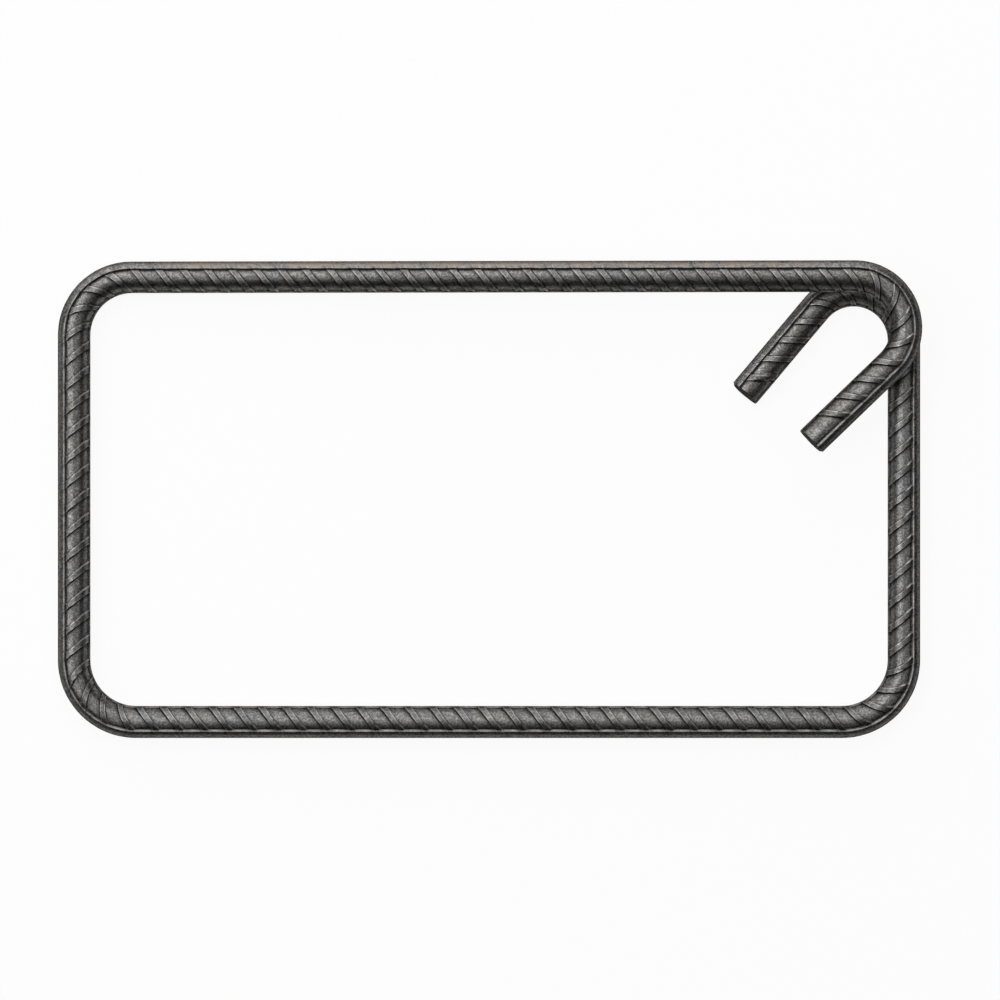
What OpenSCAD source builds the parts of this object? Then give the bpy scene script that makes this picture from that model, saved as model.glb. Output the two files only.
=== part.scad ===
// Rectangular rebar stirrup: one ribbed bar bent round four corners and closed at the
// fourth by two hooks, one lapped over the other, whose straight tails point into the loop.
// X runs along the long legs, Y along the short ones, Z is up; the loop lies on Z = 0.

/* [Loop] */
// Between the centre lines of the two short legs
loop_length = 280; // [180:1:600]
// Between the centre lines of the two long legs
loop_width = 150; // [110:1:400]
// Centre-line radius of the two corners on the long leg away from the hooks
far_corner_radius = 21.0; // [16:0.1:32]
// Centre-line radius of the plain corner on the raised long leg
raised_corner_radius = 19.5; // [16:0.1:32]

/* [Hooks] */
// Centre-line radius of the upper hook
upper_hook_radius = 17.3; // [16:0.1:26]
// Turn of the upper hook, its corner included
upper_hook_turn = 136; // [110:1:150]
// Straight tail after the upper hook
upper_tail = 37.5; // [12:0.5:60]
// Centre-line radius of the lower hook
lower_hook_radius = 16.8; // [16:0.1:26]
// Turn of the lower hook, its corner included
lower_hook_turn = 140; // [110:1:150]
// Straight tail after the lower hook
lower_tail = 38; // [12:0.5:60]
// Distance the lower hook stops short of the raised leg, seen from above
lower_hook_inset = 4.4; // [0:0.1:8]
// Least air between the two lapped hooks
lap_gap = 0.3; // [0.1:0.1:3]

/* [Bar] */
// Diameter of the round core
core_diameter = 9.6; // [7:0.1:12]
// Height of the two lengthwise ridges above the core
ridge_height = 1.1; // [0.6:0.05:1.4]
// Width of a ridge across its crest
ridge_crest = 2.6; // [1.2:0.1:3]
// Width of a ridge at its foot
ridge_foot = 3.6; // [3.2:0.1:5]
// Angle of the outer ridge above the plane of the loop
ridge_angle = 40; // [20:1:60]

/* [Ribs] */
// Distance between neighbouring ribs along the bar
rib_pitch = 8.25; // [6:0.05:14]
// Shift of the whole rib pattern along the bar
rib_shift = -2.3; // [-6:0.1:6]
// Height of a rib above the core, halfway between the ridges
rib_height = 0.6; // [0.3:0.05:0.8]
// Thickness of a rib, square to its own length
rib_width = 1.9; // [1:0.1:2.6]
// Lean of the ribs from square across the bar
rib_lean = 40; // [10:1:44]

/* [Hidden] */
steel = [0.22, 0.22, 0.23];
core_radius = core_diameter / 2;
ridge_radius = core_radius + ridge_height;
ridge_root = 0.9 * core_radius;
half_length = loop_length / 2;
half_width = loop_width / 2;
degree = PI / 180;

// A rib is a crescent: highest halfway between the ridges, and level with the core on them.
// Its rim is a circle through both ridge lines, set off to its own side of the bar.
rib_crest = core_radius + rib_height;
rim_radius = (pow(core_radius, 2) + pow(rib_crest, 2)) / (2 * rib_crest);
rim_offset = rib_crest - rim_radius;
rest_height = rim_radius + rim_offset * cos(ridge_angle);
// Wide enough to cut right across the bar at any lean.
slice = 4 * ridge_radius;

// The raised leg climbs from the short leg opposite the hooks until it clears the lower one.
// Its slope is rounded up to the next short cosine, so the two halves meet exactly.
climb = atan((2 * rest_height + lap_gap) / (loop_length - lower_hook_radius));
slope = acos(floor(cos(climb) * 1e5) / 1e5);
raised_length = loop_length / cos(slope);

// A turn is made in two steps whose sines and cosines, kept to six digits, still add up to
// it exactly, so that neighbouring runs share their end faces.
function kept(x) = let (unit = pow(10, floor(log(abs(x))) - 5)) round(x / unit) * unit;
function kept_turn(a) = let (c = kept(cos(a)), s = kept(sin(a))) [atan2(s, c), norm([c, s])];
function miss(turn, a) =
  let (one = kept_turn(a), two = kept_turn(turn - a))
  abs(one[0] + two[0] - turn) * degree + abs(one[1] * two[1] - 1);
function first_step(turn, tries = [for (a = [10 : 0.002 : 80]) a]) =
  let (misses = [for (a = tries) miss(turn, a)], least = min(misses))
  [for (i = [0 : len(tries) - 1]) if (misses[i] == least) tries[i]][0];

// A run is [length, radius, turn, first step]: radius 0 is straight, others bend to the left.
function straight(length) = [length, 0, 0, 0];
function bend(radius, turn) =
  [radius * turn * degree, radius, turn, turn % 90 == 0 ? 0 : first_step(turn)];

// Both halves of the bar start on the short leg opposite the hooks and end at a tail.
lower_runs = [
  straight(half_width - far_corner_radius + rib_shift),
  bend(far_corner_radius, 90),
  straight(loop_length - 2 * far_corner_radius),
  bend(far_corner_radius, 90),
  straight(loop_width - far_corner_radius - lower_hook_radius - lower_hook_inset),
  bend(lower_hook_radius, lower_hook_turn),
  straight(lower_tail)
];
upper_runs = [
  straight(half_width - raised_corner_radius - rib_shift),
  bend(raised_corner_radius, 90),
  straight(raised_length - raised_corner_radius - upper_hook_radius),
  bend(upper_hook_radius, upper_hook_turn),
  straight(upper_tail)
];

function length_of(runs, i = 0) = i == len(runs) ? 0 : runs[i][0] + length_of(runs, i + 1);

// A pose is [x, y, heading] at distance s along the runs.
function moved(pose, radius, s) =
  radius == 0 ? pose + [s * cos(pose.z), s * sin(pose.z), 0]
  : let (turn = s / radius / degree, next = pose.z + turn)
    pose + [radius * (sin(next) - sin(pose.z)), radius * (cos(pose.z) - cos(next)), turn];
function pose_at(runs, s, start = [0, 0, 0], i = 0) =
  s <= runs[i][0] || i == len(runs) - 1 ? moved(start, runs[i][1], s)
  : pose_at(runs, s - runs[i][0], moved(start, runs[i][1], runs[i][0]), i + 1);

// Sweeps a flat section, whose +X is the inner side of the loop, along the runs in turn.
module sweep(runs, i = 0) {
  if (i < len(runs)) {
    length = runs[i][0];
    radius = runs[i][1];
    turn = runs[i][2];
    step = runs[i][3];
    if (radius == 0) {
      rotate([90, 0, 90]) linear_extrude(length) children();
      translate([length, 0, 0]) sweep(runs, i + 1) children();
    } else translate([0, radius, 0]) {
      rotate(-90) rotate_extrude(angle = turn, $fn = 200)
        translate([radius, 0]) mirror([1, 0]) children();
      rotate(step) rotate(turn - step)
        translate([0, -radius, 0]) sweep(runs, i + 1) children();
    }
  }
}

module ridged_section() {
  circle(core_radius, $fn = 96);
  for (side = [-ridge_angle, 180 - ridge_angle])
    rotate(side) polygon([
      [0, -ridge_foot / 2],
      [ridge_root, -ridge_foot / 2],
      [ridge_radius, -ridge_crest / 2],
      [ridge_radius, ridge_crest / 2],
      [ridge_root, ridge_foot / 2],
      [0, ridge_foot / 2]
    ]);
}

// The rims that the ribs reach on both sides of the bar, over a hollow core.
module rib_section()
  rotate(-ridge_angle) difference() {
    for (side = [-rim_offset, rim_offset])
      translate([0, side]) circle(rim_radius, $fn = 96);
    circle(core_radius / 2, $fn = 48);
  }

// Thin slices lean towards the ridges; only their rims stand out, as the ribs.
module ribbed_bar(runs, roll, lean) {
  sweep(runs) rotate(-roll) ridged_section();
  intersection() {
    sweep(runs) rotate(-roll) rib_section();
    for (s = [rib_pitch / 2 : rib_pitch : length_of(runs)]) {
      pose = pose_at(runs, s);
      translate([pose.x, pose.y, 0]) rotate(pose.z)
        rotate([-ridge_angle - roll, 0, 0]) rotate(lean)
          cube([rib_width, slice, slice], center = true);
    }
  }
}

module stirrup()
  color(steel) translate([-half_length, rib_shift, rest_height]) {
    rotate(-90) ribbed_bar(lower_runs, 0, rib_lean);
    rotate([0, -slope, 0]) mirror([0, 1, 0]) rotate(-90)
      ribbed_bar(upper_runs, slope, -rib_lean);
  }

stirrup();
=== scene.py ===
import math

import bpy
import mathutils
import numpy as np
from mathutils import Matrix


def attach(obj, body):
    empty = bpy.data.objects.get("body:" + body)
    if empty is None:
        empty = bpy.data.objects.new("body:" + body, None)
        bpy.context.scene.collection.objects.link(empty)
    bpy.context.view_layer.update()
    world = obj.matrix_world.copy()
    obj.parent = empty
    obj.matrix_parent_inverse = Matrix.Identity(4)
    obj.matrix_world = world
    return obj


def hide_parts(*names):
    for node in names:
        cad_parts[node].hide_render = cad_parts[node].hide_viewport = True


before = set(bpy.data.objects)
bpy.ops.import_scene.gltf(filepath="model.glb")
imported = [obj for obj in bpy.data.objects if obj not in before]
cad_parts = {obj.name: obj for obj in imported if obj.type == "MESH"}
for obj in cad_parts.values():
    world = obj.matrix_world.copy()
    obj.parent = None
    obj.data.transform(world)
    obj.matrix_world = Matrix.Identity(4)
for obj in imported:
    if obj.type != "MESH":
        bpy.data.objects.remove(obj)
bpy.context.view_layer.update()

# A rebar stirrup lying flat, seen square from above. Metres and radians, in the CAD's own frame.
# East is +X and north is +Y. One mesh stands for the CAD's bar: the same bar, with softer ribs
# and ridges and painted shade in its corners. Its points are laid out by distance and angle.

# Loop and hooks, as in the CAD: centre-line sizes.
LOOP_LENGTH = 0.280
LOOP_WIDTH = 0.150
FAR_CORNER_RADIUS = 0.0210
RAISED_CORNER_RADIUS = 0.0195
UPPER_HOOK_RADIUS = 0.0173
UPPER_HOOK_TURN = math.radians(136)
UPPER_TAIL = 0.0375
LOWER_HOOK_RADIUS = 0.0168
LOWER_HOOK_TURN = math.radians(140)
LOWER_TAIL = 0.038
LOWER_HOOK_INSET = 0.0044
LAP_GAP = 0.0003

# The section: a round core with two ridges along it. Crest and foot are a ridge's widths there,
# and the crown is how far its crest falls off towards its sides.
CORE_RADIUS = 0.0048
RIDGE_HEIGHT = 0.0011
RIDGE_CREST = 0.0031
RIDGE_CROWN = 0.00016
RIDGE_FOOT = 0.0036
RIDGE_ANGLE = math.radians(40)

# The ribs: crescents that lean along the bar and run out on the ridges, none near a cut end.
# The shift is how far from the short leg's middle the bar's two halves meet, as in the CAD, and
# the phase moves the ribs from the CAD's places to the photo's.
RIB_PITCH = 0.00825
RIB_SHIFT = -0.0023
RIB_PHASE = 0.0030
RIB_FREE_END = 0.005
RIB_HEIGHT = 0.0006
RIB_LEAN = math.radians(37)
RIB_CREST = 0.0017
RIB_FOOT = 0.0024

# A rib's rim is a circle through both ridges, set off to its own side of the bar.
RIB_RADIUS = CORE_RADIUS + RIB_HEIGHT
RIB_CIRCLE = (CORE_RADIUS**2 + RIB_RADIUS**2) / (2 * RIB_RADIUS)
RIB_OFFSET = RIB_RADIUS - RIB_CIRCLE
RIB_ALONG = RIB_RADIUS * math.tan(RIB_LEAN)
REST_HEIGHT = RIB_CIRCLE + RIB_OFFSET * math.cos(RIDGE_ANGLE)

# The raised half climbs until its hook clears the lower one. As in the CAD, the cosine of its
# slope is rounded down to five decimals.
CLIMB = math.atan((2 * REST_HEIGHT + LAP_GAP) / (LOOP_LENGTH - LOWER_HOOK_RADIUS))
ROUNDING = 1e5
SLOPE = math.acos(math.floor(math.cos(CLIMB) * ROUNDING) / ROUNDING)
RAISED_LENGTH = LOOP_LENGTH / math.cos(SLOPE)

# Runs of (length, radius), from where the bar's halves meet to a tail; radius 0 is straight.
QUARTER = math.pi / 2
LOWER_RUNS = [
    (LOOP_WIDTH / 2 - FAR_CORNER_RADIUS + RIB_SHIFT, 0),
    (FAR_CORNER_RADIUS * QUARTER, FAR_CORNER_RADIUS),
    (LOOP_LENGTH - 2 * FAR_CORNER_RADIUS, 0),
    (FAR_CORNER_RADIUS * QUARTER, FAR_CORNER_RADIUS),
    (LOOP_WIDTH - FAR_CORNER_RADIUS - LOWER_HOOK_RADIUS - LOWER_HOOK_INSET, 0),
    (LOWER_HOOK_RADIUS * LOWER_HOOK_TURN, LOWER_HOOK_RADIUS),
    (LOWER_TAIL, 0),
]
UPPER_RUNS = [
    (LOOP_WIDTH / 2 - RAISED_CORNER_RADIUS - RIB_SHIFT, 0),
    (RAISED_CORNER_RADIUS * QUARTER, RAISED_CORNER_RADIUS),
    (RAISED_LENGTH - RAISED_CORNER_RADIUS - UPPER_HOOK_RADIUS, 0),
    (UPPER_HOOK_RADIUS * UPPER_HOOK_TURN, UPPER_HOOK_RADIUS),
    (UPPER_TAIL, 0),
]
LOWER_END = sum(run[0] for run in LOWER_RUNS)
UPPER_END = -sum(run[0] for run in UPPER_RUNS)

# The cut ends: cropped at a lean, chamfered and dished. A cut face has inner rings, each with
# its share of the bar's radius and its depth.
CUT_LEAN = 0.0010
CUT_LEAN_REACH = 0.004
CHAMFER = 0.00012
CHAMFER_REACH = 0.0006
CUT_RINGS = ((0.86, 0.00010), (0.45, 0.00022))

# The mesh: degrees from the middle of a ridge, close together on its flank, with even steps
# between the ridges; distances from the middle of a rib, and even steps near the cut ends.
RIDGE_DEGREES = (0, 5.5, 11, 15.5, 17.5, 19, 20.5, 22, 25)
PLAIN_DEGREES = 30
PLAIN_STEPS = 13
RIB_RINGS = (0.0007, 0.00107, 0.0013, 0.0015, 0.00175)
GAP_RINGS = (0.0031, 0.0052)
END_ZONE = 0.011
END_STEP = 0.0004
SQUARE_ZONE = 0.010
SHARP_ANGLE = math.radians(50)

# Painted shade, as soft dark lines at the feet of ribs and ridges where shade falls, and thinly over
# the ribs' crests. It is stronger and wider on the ribs' flanks that face -Y, away from the lamps in
# the north, and weaker and narrower on the others.
RIB_SHADE = 0.72
RIB_SHADE_WIDTH = 0.00026
RIB_SHADE_BY_SIDE = 0.28
RIB_SHADE_WIDTH_BY_SIDE = 0.00008
RIB_SHADE_FADE = 0.00025
CREST_SHADE = 0.22
CREST_SHADE_FADE = 0.0004
RIDGE_SHADE = 0.85
RIDGE_SHADE_WIDTH = 0.00024
RIDGE_SHADE_OUT = 0.0002
RIDGE_SHADE_BEND = 0.00035
RIDGE_SHADE_BEND_WIDTH = 0.0012

# Rubbed edges of ribs and ridges, and a warm tan tint on the outer ridge of the raised long leg.
RIB_RUB_WIDTH = 0.00018
RIB_RUB_FADE = 0.0003
RIDGE_RUB = 0.3
RIDGE_RUB_WIDTH = 0.00025
TINT_FADE_IN = 0.02
TINT_FADE_OUT = 0.03
TINT_FADE_ACROSS = 0.0008

# The floor, and a long lens straight above it, as high as frames the loop as in the photo.
FLOOR_REACH = 20.0
LENS_MM = 200
SENSOR_MM = 36
CAMERA_PLACE = (0.0037, -0.0001, 1.88)


def smooth(x):
    """0 to 1 with soft ends, for x from 0 to 1."""
    x = np.clip(x, 0, 1)
    return x * x * (3 - 2 * x)


def line(distance, width):
    """1 on a line, fading to 0 about two widths away from it."""
    return np.exp(-((distance / width) ** 2))


def moved(start, radius, distance):
    """Place and heading at a distance past a start: straight on, or on a bend to the left."""
    x, y, heading = start
    if radius == 0:
        return x + distance * math.cos(heading), y + distance * math.sin(heading), heading
    turned = heading + distance / radius
    return (
        x + radius * (np.sin(turned) - math.sin(heading)),
        y + radius * (math.cos(heading) - np.cos(turned)),
        turned,
    )


def walk(runs, s):
    """Places and headings at distances s along runs that start at the origin towards +X."""
    reached = [np.zeros_like(s)] * 3
    start = (0.0, 0.0, 0.0)
    passed = 0.0
    for length, radius in runs:
        ahead = moved(start, radius, s - passed)
        reached = [np.where(s >= passed, new, old) for new, old in zip(ahead, reached)]
        start = moved(start, radius, length)
        passed += length
    return reached


def walk_bar(s):
    """Places and headings at distances s along the bar, each half in its own plane.

    s is 0 where the halves meet, on the short leg opposite the hooks, positive on the flat
    half and negative on the raised half, which tilts about that leg.
    """
    flat = s >= 0
    lower = walk(LOWER_RUNS, np.where(flat, s, 0))
    upper = walk(UPPER_RUNS, np.where(flat, 0, -s))
    return [np.where(flat, a, b) for a, b in zip(lower, upper)]


def bar_point(s, angle, radius):
    """Points of the bar at distance s, at an angle up from the outer side and a radius."""
    flat = s >= 0
    tilt = np.where(flat, 0, SLOPE)
    x, y, heading = walk_bar(s)
    outward = radius * np.cos(angle + tilt)
    up = radius * np.sin(angle + tilt)
    east = y - outward * np.cos(heading)
    along = x + outward * np.sin(heading)
    north = np.where(flat, -along, along)
    return np.stack(
        [
            east * np.cos(tilt) - up * np.sin(tilt) - LOOP_LENGTH / 2,
            north + RIB_SHIFT,
            east * np.sin(tilt) + up * np.cos(tilt) + REST_HEIGHT,
        ],
        axis=-1,
    )


def from_ridge(angle):
    """Distance round the core from the middle of the nearer ridge."""
    turn = (angle - RIDGE_ANGLE + math.pi / 2) % math.pi - math.pi / 2
    return np.abs(turn) * CORE_RADIUS


def past_rib(s, angle):
    """Signed distance from the middle of the nearest rib, square to it."""
    level = s - RIB_PHASE - RIB_ALONG * np.cos(angle)
    middle = (np.floor(level / RIB_PITCH) + 0.5) * RIB_PITCH
    at_end = (middle < UPPER_END + RIB_FREE_END) | (middle > LOWER_END - RIB_FREE_END)
    return np.where(at_end, RIB_PITCH, (level - middle) * math.cos(RIB_LEAN))


def from_rib(s, angle):
    """Distance from the middle of the nearest rib, square to it."""
    return np.abs(past_rib(s, angle))


def from_cut(places):
    """Distance along the bar from the nearer cut end."""
    return np.minimum(places - UPPER_END, LOWER_END - places)


def rib_side(s, angle):
    """1 on a rib's flank that faces -Y, -1 on one that faces +Y."""
    heading = walk_bar(s)[2]
    lean = np.where(s >= 0, RIB_LEAN, -RIB_LEAN)
    return np.cos(heading + lean) * np.sign(past_rib(s, angle))


def rib_rise(angle):
    """Height of a rib's crest above the core: a crescent between the ridges."""
    crest = RIB_OFFSET * np.abs(np.sin(angle - RIDGE_ANGLE))
    return crest + np.sqrt(RIB_CIRCLE**2 - RIB_OFFSET**2 + crest**2) - CORE_RADIUS


def relief(s, angle):
    """Radius of the bar's surface: core, two crowned ridges and leaning ribs."""
    off = from_ridge(angle)
    flank = smooth((RIDGE_FOOT / 2 - off) / ((RIDGE_FOOT - RIDGE_CREST) / 2))
    crown = RIDGE_CROWN * np.minimum(off / (RIDGE_CREST / 2), 1) ** 2
    ridge = (RIDGE_HEIGHT - crown) * flank
    slope = smooth((RIB_FOOT / 2 - from_rib(s, angle)) / ((RIB_FOOT - RIB_CREST) / 2))
    return CORE_RADIUS + np.maximum(ridge, rib_rise(angle) * slope)


def crease_shade_marks(s, angle):
    """How much painted shade a point takes, in the corners beside ribs and ridges."""
    across = from_rib(s, angle)
    side = rib_side(s, angle)
    standing = smooth(rib_rise(angle) / RIB_SHADE_FADE)
    # Painted shade is heavier on rib flanks that face -Y, away from the lamps in the north.
    foot = line(across - RIB_FOOT / 2, RIB_SHADE_WIDTH + RIB_SHADE_WIDTH_BY_SIDE * side)
    foot = foot * standing * (RIB_SHADE + RIB_SHADE_BY_SIDE * side)
    crest = smooth((RIB_CREST / 2 - across) / CREST_SHADE_FADE) * standing
    bend = RIDGE_SHADE_BEND * line(across, RIDGE_SHADE_BEND_WIDTH)
    off = from_ridge(angle) - RIDGE_FOOT / 2 - RIDGE_SHADE_OUT + bend
    ridge = RIDGE_SHADE * line(off, RIDGE_SHADE_WIDTH)
    return np.maximum(np.maximum(foot, CREST_SHADE * crest), ridge)


def rub_marks(s, angle):
    """How much a point lies on a rubbed edge of a rib or a ridge."""
    standing = smooth(rib_rise(angle) / RIB_RUB_FADE)
    rib = line(from_rib(s, angle) - RIB_CREST / 2, RIB_RUB_WIDTH) * standing
    ridge = line(from_ridge(angle) - RIDGE_CREST / 2, RIDGE_RUB_WIDTH)
    return np.maximum(rib, RIDGE_RUB * ridge)


def warm_tint_marks(s, angle):
    """How much warm tan tint a point takes: all of it is on the outer ridge of the raised long leg.
    """
    start = -UPPER_RUNS[0][0] - UPPER_RUNS[1][0]
    stop = start - UPPER_RUNS[2][0]
    along = smooth((start - s) / TINT_FADE_IN) * smooth((s - stop) / TINT_FADE_OUT)
    across = smooth((RIDGE_FOOT / 2 - from_ridge(angle)) / TINT_FADE_ACROSS)
    outer = np.cos(angle) > 0
    return along * across * outer


def section_angles():
    """Angles round the section, close together on the ridges' flanks."""
    before = [-degrees for degrees in RIDGE_DEGREES[:0:-1]]
    plain = np.linspace(PLAIN_DEGREES, 180 - PLAIN_DEGREES, PLAIN_STEPS, endpoint=False)
    one_side = np.concatenate([[-PLAIN_DEGREES], before, RIDGE_DEGREES, plain])
    return RIDGE_ANGLE + np.radians(np.concatenate([one_side, one_side + 180]))


def ring_places():
    """Distances of the rings: closer on the ribs' flanks and near both cut ends."""
    before = [-distance for distance in reversed(RIB_RINGS)]
    offsets = np.concatenate([before, RIB_RINGS, GAP_RINGS])
    first = math.ceil((UPPER_END + END_ZONE) / RIB_PITCH)
    last = math.floor((LOWER_END - END_ZONE) / RIB_PITCH)
    ribs = (np.arange(first, last) + 0.5) * RIB_PITCH + RIB_PHASE
    middle = (ribs[:, None] + offsets[None, :]).ravel()
    head = np.arange(UPPER_END, middle[0] - END_STEP / 2, END_STEP)
    tail = np.arange(LOWER_END, middle[-1] + END_STEP / 2, -END_STEP)[::-1]
    return np.concatenate([head, middle, tail])


def cut_slant(places, angles):
    """How far the cropped ends lean back at the top, fading out along the bar."""
    fade = 1 - smooth(from_cut(places) / CUT_LEAN_REACH)
    reach = CUT_LEAN / 2 * fade * np.where(places > 0, 1, -1)
    return reach[:, None] * (1 + np.sin(angles))[None, :]


def surface(places, angles):
    """Points of the bar between its cut ends, and the marks that its colour follows.

    The rings lean with the ribs, and turn square to the bar near the cut ends.
    """
    lean = smooth(from_cut(places) / SQUARE_ZONE) * RIB_ALONG
    s = places[:, None] + lean[:, None] * np.cos(angles)[None, :] - cut_slant(places, angles)
    around = np.broadcast_to(angles, s.shape)
    chamfer = CHAMFER * (1 - smooth(from_cut(places) / CHAMFER_REACH))[:, None]
    points = bar_point(s, around, relief(s, around) - chamfer)
    marks = {
        "painted_shade": crease_shade_marks(s, around),
        "rub": rub_marks(s, around),
        "warm_tint": warm_tint_marks(s, around),
    }
    return points.reshape(-1, 3).tolist(), marks


def quads(ring, following):
    """Quads from each ring of point numbers to the one that follows it."""
    corners = [ring, following, np.roll(following, -1, axis=-1), np.roll(ring, -1, axis=-1)]
    return np.stack(corners, axis=-1).reshape(-1, 4).tolist()


def cut_face(end, angles, ring, first):
    """Points and faces of a cut face, from the bar's last ring there to its middle.

    Its own points are numbered from first.
    """
    inward = 1 if end == UPPER_END else -1
    edge = relief(np.full(len(angles), end), angles) - CHAMFER
    slant = cut_slant(np.array([end]), angles)[0]
    points = []
    faces = []
    for share, depth in CUT_RINGS:
        points += bar_point(end + inward * depth - share * slant, angles, edge * share).tolist()
        inner = np.arange(first, first + len(angles))
        faces += quads(ring, inner)
        ring = inner
        first += len(angles)
    faces.append(ring[::-1].tolist())
    if inward > 0:
        faces = [face[::-1] for face in faces]
    return points, faces


def add_marks(mesh, marks):
    """Stores the marks on the mesh's points; the cut faces' own points have none."""
    for name, values in marks.items():
        stored = np.zeros(len(mesh.vertices))
        stored[: values.size] = values.ravel()
        mesh.attributes.new(name, "FLOAT", "POINT").data.foreach_set("value", stored)


def build_bar():
    """The whole bar as one closed mesh: its surface in slot 0, its cut faces in slot 1."""
    angles = section_angles()
    places = ring_places()
    points, marks = surface(places, angles)
    index = np.arange(len(points)).reshape(len(places), len(angles))
    sides = quads(index[:-1], index[1:])
    cuts = []
    for end, ring in ((UPPER_END, index[0]), (LOWER_END, index[-1])):
        new_points, new_faces = cut_face(end, angles, ring, len(points))
        points += new_points
        cuts += new_faces
    mesh = bpy.data.meshes.new("ribbed_bar")
    mesh.from_pydata(points, [], sides + cuts)
    add_marks(mesh, marks)
    for polygon in mesh.polygons:
        polygon.material_index = 1 if polygon.index >= len(sides) else 0
        polygon.use_smooth = True
    mesh.set_sharp_from_angle(angle=SHARP_ANGLE)
    mesh.materials.append(mill_scale())
    mesh.materials.append(cut_steel())
    bar = bpy.data.objects.new("ribbed_bar", mesh)
    bpy.context.collection.objects.link(bar)
    return bar


def node(tree, kind, inputs, **settings):
    """A new node; a socket among the inputs is linked, any other value is set."""
    new = tree.nodes.new(kind)
    for name, value in settings.items():
        setattr(new, name, value)
    for name, value in inputs.items():
        if isinstance(value, bpy.types.NodeSocket):
            tree.links.new(value, new.inputs[name])
        else:
            new.inputs[name].default_value = value
    return new


def noise(tree, per_metre, detail, rough=0.5):
    """Noise over the object, with so many features per metre."""
    place = tree.nodes.new("ShaderNodeTexCoord").outputs["Object"]
    inputs = {"Vector": place, "Scale": per_metre, "Detail": detail, "Roughness": rough}
    return node(tree, "ShaderNodeTexNoise", inputs).outputs["Fac"]


def mark(tree, name):
    """One of the marks stored on the mesh's points."""
    return node(tree, "ShaderNodeAttribute", {}, attribute_name=name).outputs["Fac"]


def fitted(tree, value, low, high, to_low=0.0, to_high=1.0):
    """The value's range from low to high, brought to another range and held inside it."""
    inputs = {"Value": value, "From Min": low, "From Max": high, "To Min": to_low, "To Max": to_high}
    return node(tree, "ShaderNodeMapRange", inputs).outputs["Result"]


def to_range(tree, share, at_none, at_full):
    """A share from 0 to 1, brought to the range between two values."""
    return fitted(tree, share, 0, 1, at_none, at_full)


def clouds(tree, per_metre):
    """Soft patches from 0 to 1, with so many features per metre."""
    return fitted(tree, noise(tree, per_metre, detail=3), low=0.35, high=0.65)


def combined(tree, operation, a, b):
    """Two values through one mathematical operation."""
    return node(tree, "ShaderNodeMath", {0: a, 1: b}, operation=operation).outputs[0]


def mixed(tree, share, a, b):
    """Colour a, with a share of colour b over it."""
    inputs = {"Factor": share, "A": a, "B": b}
    return node(tree, "ShaderNodeMix", inputs, data_type="RGBA").outputs["Result"]


def roughened(tree, shader, height, strength, distance):
    """Fine bumps on a shader."""
    inputs = {"Strength": strength, "Distance": distance, "Height": height}
    bump = node(tree, "ShaderNodeBump", inputs)
    tree.links.new(bump.outputs["Normal"], shader.inputs["Normal"])


def grey(level, warm=0.0):
    """A grey of a level, with red raised and blue lowered by a share of it."""
    return (level * (1 + warm), level, level * (1 - warm), 1)


def steel(name, metallic):
    """A metal that stays dark at grazing angles, as a scaled surface does."""
    material = bpy.data.materials.new(name)
    material.use_nodes = True
    shader = material.node_tree.nodes["Principled BSDF"]
    shader.inputs["Metallic"].default_value = metallic
    shader.inputs["Specular Tint"].default_value = (0, 0, 0, 1)
    return material, material.node_tree, shader


def scale_colour(tree, blotches, speckle):
    """The scale's own colour: cool and warm patches, darker blotches, and dark specks."""
    cool = grey(0.27, warm=-0.005)
    warm = grey(0.27, warm=0.07)
    blotch = grey(0.16, warm=0.02)
    speck = grey(0.06, warm=0.02)
    most_blotch = 0.4
    most_speck = 0.8
    colour = mixed(tree, clouds(tree, per_metre=90), cool, warm)
    colour = mixed(tree, to_range(tree, blotches, 0, most_blotch), colour, blotch)
    return mixed(tree, to_range(tree, speckle, most_speck, 0), colour, speck)


def worn_and_shaded(tree, colour):
    """A colour with a warm tint, rubbed edges and painted shade over it, where the mesh's marks say.
    """
    warm_tan = (0.25, 0.205, 0.17, 1)
    bare = grey(0.55, warm=0.02)
    shade_colour = grey(0.010)
    most_tint = 0.8
    most_rub = 0.9
    most_shade = 0.92
    warm_tint = fitted(tree, noise(tree, per_metre=200, detail=3), 0.3, 0.6, 0, most_tint)
    rub = fitted(tree, noise(tree, per_metre=500, detail=2), 0.3, 0.55, 0, most_rub)
    colour = mixed(tree, combined(tree, "MULTIPLY", mark(tree, "warm_tint"), warm_tint), colour, warm_tan)
    colour = mixed(tree, combined(tree, "MULTIPLY", mark(tree, "rub"), rub), colour, bare)
    # Painted shade: corners beside ribs and ridges are darkened, and the -Y rib flanks most.
    return mixed(tree, to_range(tree, mark(tree, "painted_shade"), 0, most_shade), colour, shade_colour)


def mill_scale():
    """Dark satin scale: speckled, in warm and cool patches, rubbed on edges, painted shade in
    corners.
    """
    material, tree, shader = steel("mill_scale_steel", metallic=1.0)
    smoothest = 0.33
    roughest = 0.45
    blotches = clouds(tree, per_metre=420)
    speckle = fitted(tree, noise(tree, per_metre=1500, detail=2, rough=0.8), 0.42, 0.6)
    colour = worn_and_shaded(tree, scale_colour(tree, blotches, speckle))
    tree.links.new(colour, shader.inputs["Base Color"])
    tree.links.new(to_range(tree, blotches, smoothest, roughest), shader.inputs["Roughness"])
    roughened(tree, shader, speckle, strength=0.3, distance=0.00006)
    return material


def cut_steel():
    """Cropped end face: rougher than the scale, and coloured near black as painted shade."""
    material, tree, shader = steel("cut_steel", metallic=0.8)
    shader.inputs["Roughness"].default_value = 0.55
    # Painted shade: the end face is coloured darker than bare cut steel is.
    dark = grey(0.02)
    light = grey(0.08, warm=0.03)
    grain = clouds(tree, per_metre=900)
    tree.links.new(mixed(tree, grain, dark, light), shader.inputs["Base Color"])
    roughened(tree, shader, grain, strength=0.5, distance=0.0001)
    return material


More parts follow.
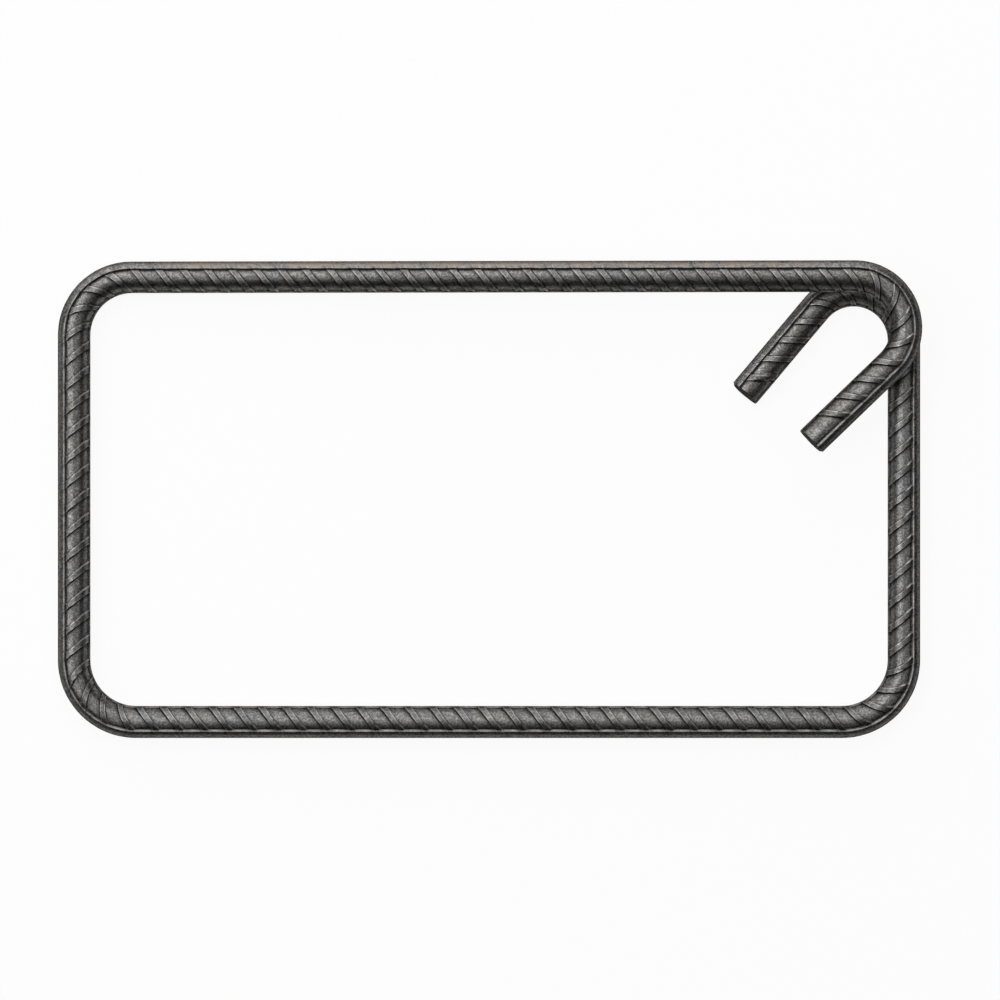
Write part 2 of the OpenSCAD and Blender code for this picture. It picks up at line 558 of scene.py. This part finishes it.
def white_floor():
    """White where it is seen directly, greyer in reflections, and lit enough to hold a shadow."""
    material = bpy.data.materials.new("white_floor")
    material.use_nodes = True
    tree = material.node_tree
    tree.nodes.clear()
    path = tree.nodes.new("ShaderNodeLightPath").outputs
    most_white = 0.93
    white_in_gloss = 0.45
    in_gloss = combined(tree, "MULTIPLY", path["Is Glossy Ray"], white_in_gloss)
    white = combined(tree, "MAXIMUM", path["Is Camera Ray"], in_gloss)
    white = combined(tree, "MAXIMUM", white, path["Is Transmission Ray"])
    white = combined(tree, "MULTIPLY", white, most_white)
    lit = node(tree, "ShaderNodeBsdfDiffuse", {"Color": (0.9, 0.9, 0.9, 1)}).outputs[0]
    glow = node(tree, "ShaderNodeEmission", {"Color": (1, 1, 1, 1), "Strength": 1.0}).outputs[0]
    mix = node(tree, "ShaderNodeMixShader", {0: white, 1: lit, 2: glow}).outputs[0]
    node(tree, "ShaderNodeOutputMaterial", {"Surface": mix})
    return material


def build_floor():
    """A wide floor at the height that the stirrup lies on."""
    mesh = bpy.data.meshes.new("floor")
    far = FLOOR_REACH
    corners = [(-far, -far, 0), (far, -far, 0), (far, far, 0), (-far, far, 0)]
    mesh.from_pydata(corners, [], [(0, 1, 2, 3)])
    mesh.materials.append(white_floor())
    floor = bpy.data.objects.new("floor", mesh)
    bpy.context.collection.objects.link(floor)


def area_lamp(name, place, size, power):
    """A soft lamp aimed at the middle of the object."""
    light = bpy.data.lights.new(name, "AREA")
    light.shape = "RECTANGLE"
    light.size, light.size_y = size
    light.energy = power
    lamp = bpy.data.objects.new(name, light)
    bpy.context.collection.objects.link(lamp)
    lamp.location = place
    lamp.rotation_euler = (-mathutils.Vector(place)).to_track_quat("-Z", "Y").to_euler()


def light_studio():
    """Soft lamps overhead west and north, a low one north, a weak one east, and a dim world."""
    area_lamp("west", place=(-1.3, 0.15, 2.0), size=(2.0, 2.0), power=30)
    area_lamp("north", place=(-0.1, 1.4, 2.0), size=(2.4, 1.8), power=26)
    area_lamp("low_north", place=(-0.5, 1.35, 0.45), size=(2.2, 0.8), power=11)
    area_lamp("east", place=(0.8, 0.0, 1.6), size=(1.0, 1.0), power=3)
    world = bpy.data.worlds.new("studio")
    bpy.context.scene.world = world
    world.use_nodes = True
    background = world.node_tree.nodes["Background"]
    background.inputs["Color"].default_value = (1, 1, 1, 1)
    background.inputs["Strength"].default_value = 0.02


def overhead_camera():
    """A long lens straight above the stirrup."""
    data = bpy.data.cameras.new("camera")
    data.lens = LENS_MM
    data.sensor_width = SENSOR_MM
    camera = bpy.data.objects.new("camera", data)
    bpy.context.collection.objects.link(camera)
    camera.location = CAMERA_PLACE
    bpy.context.scene.camera = camera


bar = build_bar()
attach(bar, "root")
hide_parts("stirrup")

build_floor()
light_studio()
overhead_camera()
bpy.context.scene.view_settings.view_transform = "Standard"
